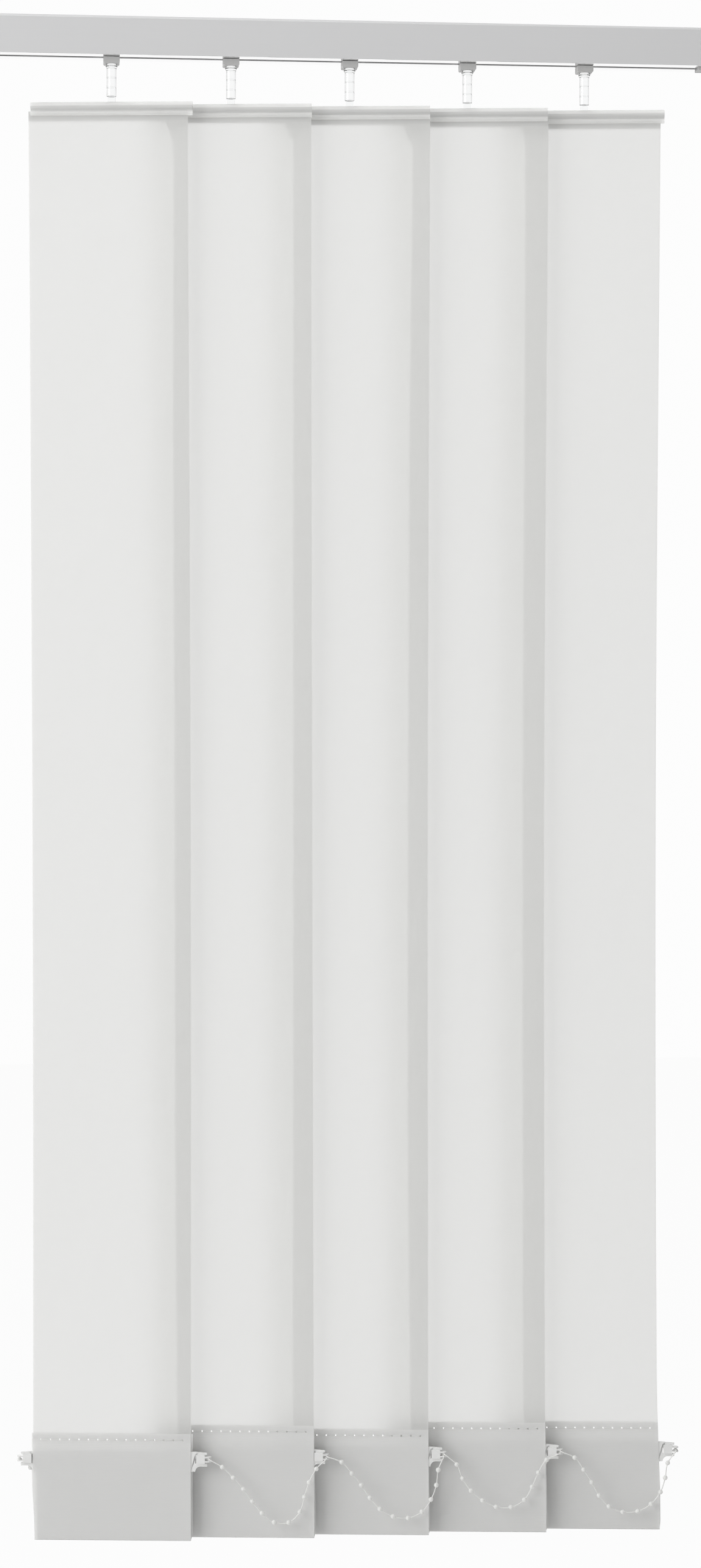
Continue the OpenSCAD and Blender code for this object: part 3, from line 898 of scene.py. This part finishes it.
class BLIND_OT_stage(bpy.types.Operator):
    """Camera, pale floor, white surroundings and soft studio lamps"""

    bl_idname = "blind.stage"
    bl_label = "Stage"

    def execute(self, context):
        scene = context.scene
        scene.view_settings.view_transform = "Standard"
        camera = bpy.data.cameras.new("camera")
        camera.sensor_fit = "VERTICAL"
        camera.sensor_height = 36.0
        camera.lens = 72.07
        camera.clip_start = 0.01
        eye = bpy.data.objects.new("camera", camera)
        eye.location = (-0.2353, -2.5156, -0.5495)
        eye.rotation_euler = (math.radians(90 - 1.352), 0, math.radians(-5.361))
        scene.collection.objects.link(eye)
        scene.camera = eye
        self.floor()
        self.surroundings(scene)
        self.lamps(scene)
        return {"FINISHED"}

    def floor(self):
        """A pale floor that the camera sees nearly as white as the background."""
        made, tree = new_finish("pale_floor")
        rays = self.shown_rays(tree)
        grain = tree.noise(tree.place(), 9.0, 3.0)
        pale = tree.node(
            "ShaderNodeBsdfDiffuse",
            None,
            {"Color": tree.tint((0.80, 0.80, 0.80), (0.83, 0.83, 0.825), grain)},
        )
        white = tree.node("ShaderNodeEmission", None, {"Color": (1, 1, 1, 1), "Strength": 1.0})
        tree.finish(tree.node("ShaderNodeMixShader", None, {0: rays * 0.94, 1: pale, 2: white}))
        size, z = 7.0, -1.62
        floor = new_piece(
            "floor",
            [(-size, -size, z), (size, -size, z), (size, size, z), (-size, size, z)],
            [(0, 1, 2, 3)],
            made,
        )

    def shown_rays(self, tree):
        """1 for rays that show the background, straight on, mirrored or through, less through cloth."""
        seen = tree.node("ShaderNodeLightPath", out="Is Camera Ray")
        mirrored = tree.node("ShaderNodeLightPath", out="Is Glossy Ray")
        through = tree.node("ShaderNodeLightPath", out="Is Transmission Ray")
        scattered = tree.node("ShaderNodeLightPath", out="Is Diffuse Ray")
        return seen.highest(mirrored).highest(through - scattered * 0.07)

    def surroundings(self, scene):
        """A white background, and soft light that is weaker from behind."""
        world = bpy.data.worlds.new("studio")
        scene.world = world
        tree = ShaderTree(world)
        behind = tree.axes(tree.node("ShaderNodeTexCoord", out="Generated"))[1]
        soft, white = [
            tree.node("ShaderNodeBackground", None, {"Color": (1, 1, 1, 1), "Strength": strength})
            for strength in (0.305 - behind * 0.100, 0.98)
        ]
        mix = tree.node("ShaderNodeMixShader", None, {0: self.shown_rays(tree), 1: soft, 2: white})
        tree.finish(mix, "ShaderNodeOutputWorld")

    def lamps(self, scene):
        """Softboxes at the front and above, and a sun behind the slats."""

        def aim(lamp, spot, at):
            lamp.location = spot
            lamp.rotation_euler = (Vector(at) - Vector(spot)).to_track_quat("-Z", "Y").to_euler()
            scene.collection.objects.link(lamp)

        def softbox(name, width, height, energy, spot, at):
            lamp = bpy.data.lights.new(name, "AREA")
            lamp.shape = "RECTANGLE"
            lamp.size = width
            lamp.size_y = height
            lamp.energy = energy
            aim(bpy.data.objects.new(name, lamp), spot, at)

        softbox("front_softbox", 2.8, 2.2, 66.0, (-2.8, -1.4, 0.45), (0, 0, -0.65))
        softbox("top_softbox", 2.0, 0.8, 9.0, (-0.2, -0.6, 1.4), (0, 0, 0))
        window = bpy.data.lights.new("window_light", "SUN")
        window.angle = math.radians(1.3)
        window.energy = 1.1
        aim(bpy.data.objects.new("window_light", window), (-2.38, 1.87, 1.9), (0, 0, -0.65))


class BLIND_OT_bead_chains(bpy.types.Operator):
    """Front and rear bead chains, a cord and its beads for each span"""

    bl_idname = "blind.bead_chains"
    bl_label = "Bead chains"

    def execute(self, context):
        for side in ("front", "rear"):
            for k in GAPS:
                chain_span(side, k)
        return {"FINISHED"}


class BLIND_OT_head_rail(bpy.types.Operator):
    """Finishes of the rail, its end caps, its stops and the tilt rod"""

    bl_idname = "blind.head_rail"
    bl_label = "Head rail"

    def execute(self, context):
        dress_node("headrail", "rail", 0.35 * MM)
        dress_node("tilt_rod", "rod", 0.12 * MM)
        for side in ("left", "right"):
            dress_node(f"end_cap_{side}", "cap", 0.5 * MM)
            dress_node(f"end_stop_{side}", "carrier", 0.4 * MM)
        return {"FINISHED"}


class BLIND_OT_carriers(bpy.types.Operator):
    """Finishes of the carriers, spacer straps, worms and gears"""

    bl_idname = "blind.carriers"
    bl_label = "Carriers"

    def execute(self, context):
        for k in SLATS:
            dress_node(f"carrier_{k}", "carrier", 0.25 * MM)
            dress_node(f"worm_{k}", "gear")
            dress_node(f"tilt_gear_{k}", "gear", 0.06 * MM)
        for k in GAPS:
            dress_node(f"spacer_{k}", "spring_steel", 0.08 * MM)
        return {"FINISHED"}


class BLIND_OT_hangers(bpy.types.Operator):
    """Finishes of the clear stems and the milky hangers"""

    bl_idname = "blind.hangers"
    bl_label = "Hangers"

    def execute(self, context):
        for k in SLATS:
            dress_node(f"stem_{k}", "clear", 0.12 * MM)
            dress_node(f"hanger_{k}", "milky", 0.08 * MM)
        return {"FINISHED"}


class BLIND_OT_slats(bpy.types.Operator):
    """Cloth slats with their sewn hems"""

    bl_idname = "blind.slats"
    bl_label = "Slats"

    def execute(self, context):
        sizes = context.scene.blind_sizes
        for k in SLATS:
            leans, hollow, seam_rise, askew = SLAT_WAYS[k]
            strip = Strip(
                sizes,
                [lean * MM for lean in leans],
                hollow * MM,
                seam_rise * MM,
                [out * MM for out in askew],
            )
            points, faces = strip.mesh()
            place = on_slat(k, sizes.fold_z)
            cloth = new_piece(f"slat_cloth_{k}", points, faces, finish_named("cloth"), place)
            smooth_by_angle(cloth, 50)
            in_hem = [float(face.center.z < strip.hem) for face in cloth.data.polygons]
            hem = cloth.data.attributes.new("hem", "FLOAT", "FACE")
            hem.data.foreach_set("value", in_hem)
            thread = strip.stitches()
            finish = finish_named("thread")
            seam = new_piece(f"hem_stitching_{k}", thread.points, thread.faces, finish, place)
            for piece in (cloth, seam):
                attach(piece, f"vane_{k}")
            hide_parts(f"slat_{k}")
        return {"FINISHED"}


class BLIND_OT_weights(bpy.types.Operator):
    """Finishes of the hem weights with their forks, and of the chain clips"""

    bl_idname = "blind.weights"
    bl_label = "Weights and clips"

    def execute(self, context):
        for k in SLATS:
            dress_node(f"weight_{k}", "weight", 0.3 * MM)
            dress_node(f"chain_clips_{k}", "white", 0.3 * MM)
        return {"FINISHED"}


STEPS = (
    BLIND_OT_stage,
    BLIND_OT_bead_chains,
    BLIND_OT_head_rail,
    BLIND_OT_carriers,
    BLIND_OT_hangers,
    BLIND_OT_slats,
    BLIND_OT_weights,
)


class BLIND_PT_panel(bpy.types.Panel):
    """Lists the steps that dress the blind"""

    bl_idname = "BLIND_PT_panel"
    bl_label = "Vertical blind"
    bl_space_type = "VIEW_3D"
    bl_region_type = "UI"
    bl_category = "Blind"

    def draw(self, context):
        for step in STEPS:
            self.layout.operator(step.bl_idname)
        for group in (context.scene.blind_sizes, context.scene.blind_colours):
            box = self.layout.box()
            for key in group.__annotations__:
                box.prop(group, key)


CLASSES = (BlindSizes, BlindColours, *STEPS, BLIND_PT_panel)


def register():
    for item in CLASSES:
        bpy.utils.register_class(item)
    bpy.types.Scene.blind_sizes = bpy.props.PointerProperty(type=BlindSizes)
    bpy.types.Scene.blind_colours = bpy.props.PointerProperty(type=BlindColours)


def unregister():
    del bpy.types.Scene.blind_colours
    del bpy.types.Scene.blind_sizes
    for item in reversed(CLASSES):
        bpy.utils.unregister_class(item)


def main():
    register()
    bpy.ops.blind.stage()
    bpy.ops.blind.bead_chains()
    bpy.ops.blind.head_rail()
    bpy.ops.blind.carriers()
    bpy.ops.blind.hangers()
    bpy.ops.blind.slats()
    bpy.ops.blind.weights()


if __name__ == "__main__":
    main()
